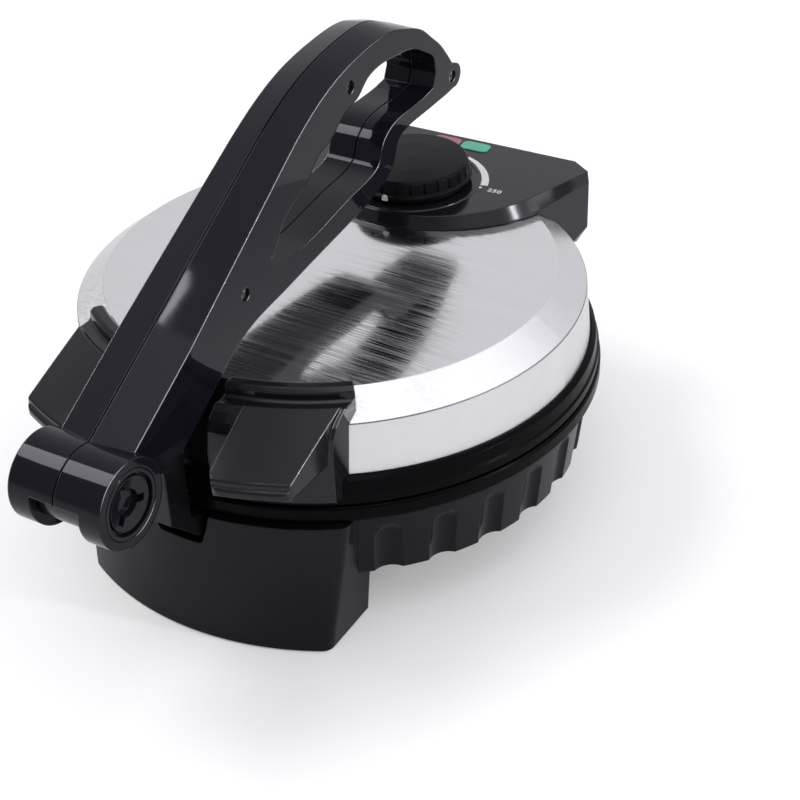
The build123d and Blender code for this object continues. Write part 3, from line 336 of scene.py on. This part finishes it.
screw_zinc = brushed_fastener("screw_zinc", (0.5, 0.5, 0.51), 0.32, along=600.0, across=600.0, edge=0.2 * MM)
pin_steel = brushed_fastener("pin_steel", (0.6, 0.6, 0.6), 0.22, along=40.0, across=900.0, edge=0.3 * MM)
foot_rubber = grained("foot_rubber", (0.02, 0.02, 0.02), 0.75, grain=900.0)
cover_paint = grained("cover_paint", (0.03, 0.03, 0.032), 0.45, grain=700.0)
plate_coating = grained("plate_coating", (0.03, 0.03, 0.032), 0.42, metallic=0.3, grain=1200.0,
                        depth=0.1 * MM)
element_sheath = grained("element_sheath", (0.16, 0.15, 0.14), 0.5, metallic=0.8, grain=300.0)
shield_sheet = grained("shield_sheet", (0.7, 0.7, 0.71), 0.3, metallic=1.0, grain=60.0, depth=0.2 * MM)
thermostat_plated = grained("thermostat_plated", (0.55, 0.55, 0.5), 0.35, metallic=1.0, grain=200.0)
bush_acetal = grained("bush_acetal", (0.72, 0.7, 0.64), 0.5, grain=500.0)
terminal_ivory = grained("terminal_ivory", (0.7, 0.67, 0.58), 0.5, grain=500.0)
lamp_glass = grained("lamp_glass_finish", (0.75, 0.5, 0.35), 0.2, grain=300.0)
white_ink = grained("white_ink", (0.86, 0.86, 0.87), 0.5, grain=1500.0, depth=0.04 * MM, edge=0.0)
# Painted shade: flat black for the shade inside the screws' driver recesses.
recess_shade_black = grained("recess_shade_black", (0.01, 0.01, 0.01), 0.6, grain=900.0, depth=0.1 * MM, edge=0.0)

finish_of_slot = {
    "base_plastic": base_black, "lid_plastic": lid_black, "lever_plastic": lever_black,
    "knob_plastic": knob_black, "bush_plastic": bush_acetal, "terminal_plastic": terminal_ivory,
    "soft_rubber": foot_rubber, "cover_steel": cover_paint, "bracket_metal": bracket_paint,
    "screw_steel": screw_zinc, "pin_steel": pin_steel, "lid_steel": lid_skin,
    "plate_coating": plate_coating, "element_steel": element_sheath, "shield_aluminium": shield_sheet,
    "thermostat_metal": thermostat_plated, "lamp_glass": lamp_glass, "red_lens": red_lens,
    "green_lens": green_lens,
}
finish_of_node = {
    "lid_ring": rim_shaded_black, "base_rim": rim_shaded_black, "pivot_caps": cap_black,
    "wing_left": wing_black, "wing_right": wing_black,
}
for entry in frame["record"]["subparts"]:
    finish = finish_of_node.get(entry["node"], finish_of_slot[entry["material_slot"]])
    for slot in frame["nodes"][entry["node"]].material_slots:
        slot.material = finish


# ---------------------------------------------------------------- mesh helpers
def add_piece(name, mesh, finish, body):
    """Puts a mesh in the scene as a piece that moves with one body."""
    mesh.materials.clear()
    mesh.materials.append(finish)
    piece = bpy.data.objects.new(name, mesh)
    scene.collection.objects.link(piece)
    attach(piece, body)


def plain_mesh(maker):
    """The mesh that an object's curve or node tree comes out as; the object itself is taken away."""
    scene.collection.objects.link(maker)
    bpy.context.view_layer.update()
    mesh = bpy.data.meshes.new_from_object(maker.evaluated_get(bpy.context.evaluated_depsgraph_get()))
    bpy.data.objects.remove(maker)
    return mesh


def closed_through(name, *solids):
    """Mesh of one or more solids, each of them closed through its own rings of points in turn."""
    shape = bmesh.new()
    for rings in solids:
        rows = [[shape.verts.new(point) for point in ring] for ring in rings]
        for row, next_row in zip(rows, rows[1:]):
            for i in range(len(row)):
                j = (i + 1) % len(row)
                shape.faces.new((row[i], row[j], next_row[j], next_row[i]))
        shape.faces.new(rows[0][::-1])
        shape.faces.new(rows[-1])
    bmesh.ops.recalc_face_normals(shape, faces=shape.faces)
    mesh = bpy.data.meshes.new(name)
    shape.to_mesh(mesh)
    shape.free()
    return mesh


def around(radius, degrees, centre=(0.0, DIAL_Y)):
    """Point at a radius round a centre, which is the dial's own unless another is given."""
    angle = math.radians(degrees)
    return centre[0] + radius * math.cos(angle), centre[1] + radius * math.sin(angle)


# ---------------------------------------------------------------- the dial's print
PRINT_SINK = 0.02 * MM
PRINT_DEPTH = 0.12 * MM


def heat_arc():
    """The printed wedge that grows from the cool end to the hot end of the dial."""
    cool_end, hot_end = 73.0, 15.5
    cool_inner, inner_growth, inner_speed = 41.3, 1.2, 2.2
    cool_outer, outer_growth, outer_bend = 42.6, 1.9, 0.7
    steps = 40
    inner, outer = [], []
    for i in range(steps + 1):
        t = i / steps
        angle = cool_end + (hot_end - cool_end) * t
        inner_radius = cool_inner - inner_growth * min(1.0, inner_speed * t)
        outer_radius = cool_outer + outer_growth * t ** outer_bend
        inner.append(around(inner_radius * MM, angle))
        outer.append(around(outer_radius * MM, angle))
    return inner[::-1] + outer


def hot_dot():
    """The dot that marks the hot end."""
    radius, steps = 0.95 * MM, 20
    centre = around(40.9 * MM, 11.6)
    return [around(radius, 360.0 * i / steps, centre) for i in range(steps)]


def printed(outline):
    """Lower and upper ring of a flat print on the deck."""
    low = DECK_Z - PRINT_SINK
    return [[(x, y, z) for x, y in outline] for z in (low, low + PRINT_DEPTH)]


def deck_number(text, at, height, turn):
    """A plain number as a flat mesh, printed at a place on the deck."""
    digit_share = 0.7
    curve = bpy.data.curves.new("number_" + text, "FONT")
    curve.body = text
    curve.size = height / digit_share
    curve.space_character = 1.12
    curve.offset = 0.12 * MM
    curve.extrude = 0.04 * MM
    curve.align_x = "LEFT"
    curve.align_y = "CENTER"
    flat = plain_mesh(bpy.data.objects.new("number_holder", curve))
    place = Matrix.Translation((*at, DECK_Z + 0.06 * MM))
    flat.transform(place @ Matrix.Rotation(math.radians(turn), 4, "Z"))
    return flat


def knob_pointer():
    """White line on the knob's band that shows where it is set."""
    pointer_angle = -86.0
    band_radius = 34.6
    inner, outer = 34.3, 34.78
    # Height and half width of the line at each of its levels, in mm.
    levels = ((150.9, 1.7), (152.2, 1.9), (153.6, 1.5), (154.4, 0.7))
    rings = []
    for z, half_width in levels:
        half_angle = math.degrees(half_width / band_radius)
        corners = ((inner, -half_angle), (inner, half_angle), (outer, half_angle), (outer, -half_angle))
        rings.append([(*around(radius * MM, pointer_angle + side), z * MM) for radius, side in corners])
    return closed_through("knob_pointer", rings)


add_piece("dial_print", closed_through("dial_print", printed(heat_arc()), printed(hot_dot())),
          white_ink, "lid")
add_piece("dial_number", deck_number("250", (45.2 * MM, DIAL_Y + 7.4 * MM), 3.6 * MM, 3.0),
          white_ink, "lid")
add_piece("knob_pointer", knob_pointer(), white_ink, "knob")


# ---------------------------------------------------------------- the strip between the wings
def front_strip():
    """Thin black strip that follows the steel's side and slope between the two wings."""
    # Each corner's radius from the lid's axis and height in mm, up the outer face and down the inner one.
    profile = ((140.55, 100.6), (138.35, 128.3), (123.0, 139.75), (121.9, 140.15),
               (121.3, 139.45), (122.1, 139.2), (137.6, 127.9), (139.8, 100.6))
    front, half_angle = -90.0, 9.75
    steps = 14
    rings = []
    for i in range(steps + 1):
        angle = front + half_angle * (2.0 * i / steps - 1.0)
        rings.append([(*around(radius * MM, angle, (0.0, LID_AXIS_Y)), z * MM) for radius, z in profile])
    return closed_through("lid_front_strip", rings)


add_piece("lid_front_strip", front_strip(), lid_black, "lid")


# ---------------------------------------------------------------- driver recesses of the screws, in painted shade
def cross_tree():
    """Driver recesses as crosses of painted shade, set on points, each turned by its point's own rotation."""
    tree = bpy.data.node_groups.new("driver_crosses", "GeometryNodeTree")
    for name, kind in (("Points", "NodeSocketGeometry"), ("Arm Length", "NodeSocketFloat"),
                       ("Arm Width", "NodeSocketFloat"), ("Depth", "NodeSocketFloat"),
                       ("Finish", "NodeSocketMaterial")):
        tree.interface.new_socket(name, in_out="INPUT", socket_type=kind)
    tree.interface.new_socket("Result", in_out="OUTPUT", socket_type="NodeSocketGeometry")
    n = Nodes(tree)
    given = n.node("NodeGroupInput").outputs
    cross = n.node("GeometryNodeJoinGeometry")
    for length_axis, width_axis in (("X", "Y"), ("Y", "X")):
        size = n.node("ShaderNodeCombineXYZ")
        arm = n.node("GeometryNodeMeshCube")
        n.link(given["Arm Length"], size.inputs[length_axis])
        n.link(given["Arm Width"], size.inputs[width_axis])
        n.link(given["Depth"], size.inputs["Z"])
        n.link(size.outputs["Vector"], arm.inputs["Size"])
        n.link(arm.outputs["Mesh"], cross.inputs["Geometry"])
    turn = n.node("GeometryNodeInputNamedAttribute", data_type="FLOAT_VECTOR")
    turn.inputs["Name"].default_value = "turn"
    rotation = n.node("FunctionNodeEulerToRotation")
    n.link(turn.outputs["Attribute"], rotation.inputs["Euler"])
    spread = n.node("GeometryNodeInstanceOnPoints")
    n.link(given["Points"], spread.inputs["Points"])
    n.link(cross.outputs["Geometry"], spread.inputs["Instance"])
    n.link(rotation.outputs["Rotation"], spread.inputs["Rotation"])
    real = n.node("GeometryNodeRealizeInstances")
    n.link(spread.outputs["Instances"], real.inputs["Geometry"])
    paint = n.node("GeometryNodeSetMaterial")
    n.link(real.outputs["Geometry"], paint.inputs["Geometry"])
    n.link(given["Finish"], paint.inputs["Material"])
    n.link(paint.outputs["Geometry"], n.node("NodeGroupOutput").inputs["Result"])
    return tree


def socket_id(tree, name):
    return next(s.identifier for s in tree.interface.items_tree if s.name == name and s.in_out == "INPUT")


def driver_crosses(name, tree, centres, turns, body):
    """One cross on each screw head, as one plain mesh."""
    points = bpy.data.meshes.new(name + "_points")
    points.from_pydata(centres, [], [])
    spin = points.attributes.new("turn", "FLOAT_VECTOR", "POINT")
    for item, turn in zip(spin.data, turns):
        item.vector = turn
    holder = bpy.data.objects.new(name + "_holder", points)
    made = holder.modifiers.new("crosses", "NODES")
    made.node_group = tree
    for key, value in (("Arm Length", 3.4 * MM), ("Arm Width", 0.8 * MM), ("Depth", 0.6 * MM),
                       ("Finish", recess_shade_black)):
        made[socket_id(tree, key)] = value
    mesh = plain_mesh(holder)
    mesh.name = name
    add_piece(name, mesh, recess_shade_black, body)


CROSS_SINK = 0.25 * MM
SIDEWAYS = (0.0, math.pi / 2, 0.0)
COVER_HEAD_Z = 33.5 * MM

# Centres of the screw heads in mm: three on the lever's right side, four under the base.
lever_heads = ((14.2, 34.85, 240.95), (17.6, -71.35, 178.0), (14.2, 141.35, 205.5))
cover_heads = [(x, y) for x in (89.1, -89.1) for y in (120.45, -57.75)]
crosses = cross_tree()
driver_crosses("lever_screw_crosses", crosses,
               [(x * MM - CROSS_SINK, y * MM, z * MM) for x, y, z in lever_heads],
               [SIDEWAYS] * len(lever_heads), "lever")
driver_crosses("cover_screw_crosses", crosses,
               [(x * MM, y * MM, COVER_HEAD_Z + CROSS_SINK) for x, y in cover_heads],
               [(0.0, 0.0, 0.3 + 0.7 * i) for i in range(len(cover_heads))], "base")


# ---------------------------------------------------------------- floor and room
def floor_paper():
    """Pale paper with a glow of its own as the camera sees it, so that only the shadow is grey."""
    light_tone, dark_tone = (0.76, 0.76, 0.765), (0.75, 0.75, 0.755)
    f = Finish("floor_paper", light_tone, 0.9)
    mottle = f.noise(f.object_coords(), 3.0, detail=2.0)
    f.driven("Base Color", f.tones(mottle, 0.3, 0.7, dark_tone, light_tone))
    f.fixed("Emission Color", (1.0, 1.0, 1.0, 1.0))
    seen = f.node("ShaderNodeLightPath").outputs["Is Camera Ray"]
    f.driven("Emission Strength", f.maths("MULTIPLY", seen, 0.22))
    return f.mat


def studio_floor():
    mesh = bpy.data.meshes.new("studio_floor")
    shape = bmesh.new()
    bmesh.ops.create_grid(shape, x_segments=1, y_segments=1, size=6.0)
    shape.to_mesh(mesh)
    shape.free()
    mesh.materials.append(floor_paper())
    floor = bpy.data.objects.new("studio_floor", mesh)
    scene.collection.objects.link(floor)


def studio_world():
    """A room that is brighter up at the back left and in one soft patch, with a white backdrop behind it."""
    world = bpy.data.worlds.new("studio")
    scene.world = world
    world.use_nodes = True
    n = Nodes(world.node_tree)
    way = n.node("ShaderNodeTexCoord").outputs["Generated"]
    dim_wall, bright_wall, bright_patch = 0.36, 0.78, 0.60
    wall = n.ramp(n.facing(way, (-0.25, 0.80, 0.55)), 0.1, 0.95, dim_wall, bright_wall)
    patch = n.ramp(n.facing(way, (0.522, 0.092, 0.848)), 0.66, 0.86, 0.0, bright_patch,
                   interpolation_type="SMOOTHSTEP")
    room = n.tree.nodes["Background"]
    room.inputs["Color"].default_value = (0.962, 0.955, 1.0, 1.0)
    n.link(n.maths("ADD", wall, patch), room.inputs["Strength"])
    backdrop = n.node("ShaderNodeBackground")
    backdrop.inputs["Strength"].default_value = 1.0
    backdrop.inputs["Color"].default_value = (1.0, 1.0, 1.0, 1.0)
    either = n.node("ShaderNodeMixShader")
    n.link(n.node("ShaderNodeLightPath").outputs["Is Camera Ray"], either.inputs["Fac"])
    n.link(room.outputs["Background"], either.inputs[1])
    n.link(backdrop.outputs["Background"], either.inputs[2])
    n.link(either.outputs["Shader"], n.tree.nodes["World Output"].inputs["Surface"])


scene.view_settings.view_transform = "Standard"
studio_floor()
studio_world()


# ---------------------------------------------------------------- lights and camera
def direction(azimuth, elevation):
    """Unit vector at an azimuth from +X and an elevation above the floor, in degrees."""
    a, e = math.radians(azimuth), math.radians(elevation)
    return Vector((math.cos(e) * math.cos(a), math.cos(e) * math.sin(a), math.sin(e)))


def placed(spot, towards, along):
    """Placement at a spot, with its Z axis in one direction and its X axis as near another as it can be."""
    side = (along - along.dot(towards) * towards).normalized()
    axes = Matrix((side, towards.cross(side), towards)).transposed()
    return Matrix.Translation(spot) @ axes.to_4x4()


def panel_light(name, aim, towards, along, distance, size, brightness):
    """Flat light that faces a point from a direction, with its length laid along another direction."""
    data = bpy.data.lights.new(name, "AREA")
    data.shape = "RECTANGLE"
    data.size, data.size_y = size
    data.energy = brightness * math.pi * size[0] * size[1]
    lamp = bpy.data.objects.new(name, data)
    lamp.matrix_world = placed(aim + distance * towards, towards, along)
    scene.collection.objects.link(lamp)


def soft_box(name, azimuth, elevation, distance, size, brightness):
    """Studio light that faces the lid, with its length level."""
    lid_middle = Vector((0.0, 0.0, 120.0 * MM))
    panel_light(name, lid_middle, direction(azimuth, elevation), direction(azimuth + 90.0, 0.0),
                distance, size, brightness)


def set_camera():
    """Camera above the front right corner, looking down over the lever."""
    data = bpy.data.cameras.new("camera")
    data.sensor_width = 36.0
    data.lens = 71.936
    data.clip_start = 0.05
    azimuth, elevation, roll = -58.407, 34.646, -2.455
    spot = Vector((0.42350, LID_AXIS_Y - 0.62407, 0.56662))
    level = placed(spot, direction(azimuth, elevation), direction(azimuth + 90.0, 0.0))
    camera = bpy.data.objects.new("camera", data)
    camera.matrix_world = level @ Matrix.Rotation(math.radians(roll), 4, "Z")
    scene.collection.objects.link(camera)
    bpy.context.scene.camera = camera


soft_box("left_light", 200.0, 56.0, 2.3, (1.0, 0.9), brightness=8.0)
soft_box("front_light", -70.0, 66.0, 2.4, (1.4, 1.0), brightness=1.05)
soft_box("right_light", 14.0, 21.0, 2.2, (1.3, 0.5), brightness=2.0)
soft_box("edge_light", 10.0, 27.0, 2.2, (0.12, 0.6), brightness=40.0)

# A short strip light that shows as one glint low on the lever, laid down its length.
lever_glint = Vector((-8.8, -104.5, 185.0)) * MM
panel_light("glint_strip", lever_glint, Vector((-0.1284, -0.205, 0.9703)).normalized(),
            Vector((0.0, 0.864, 0.503)), 2.0, (0.10, 0.012), brightness=26.0)
set_camera()
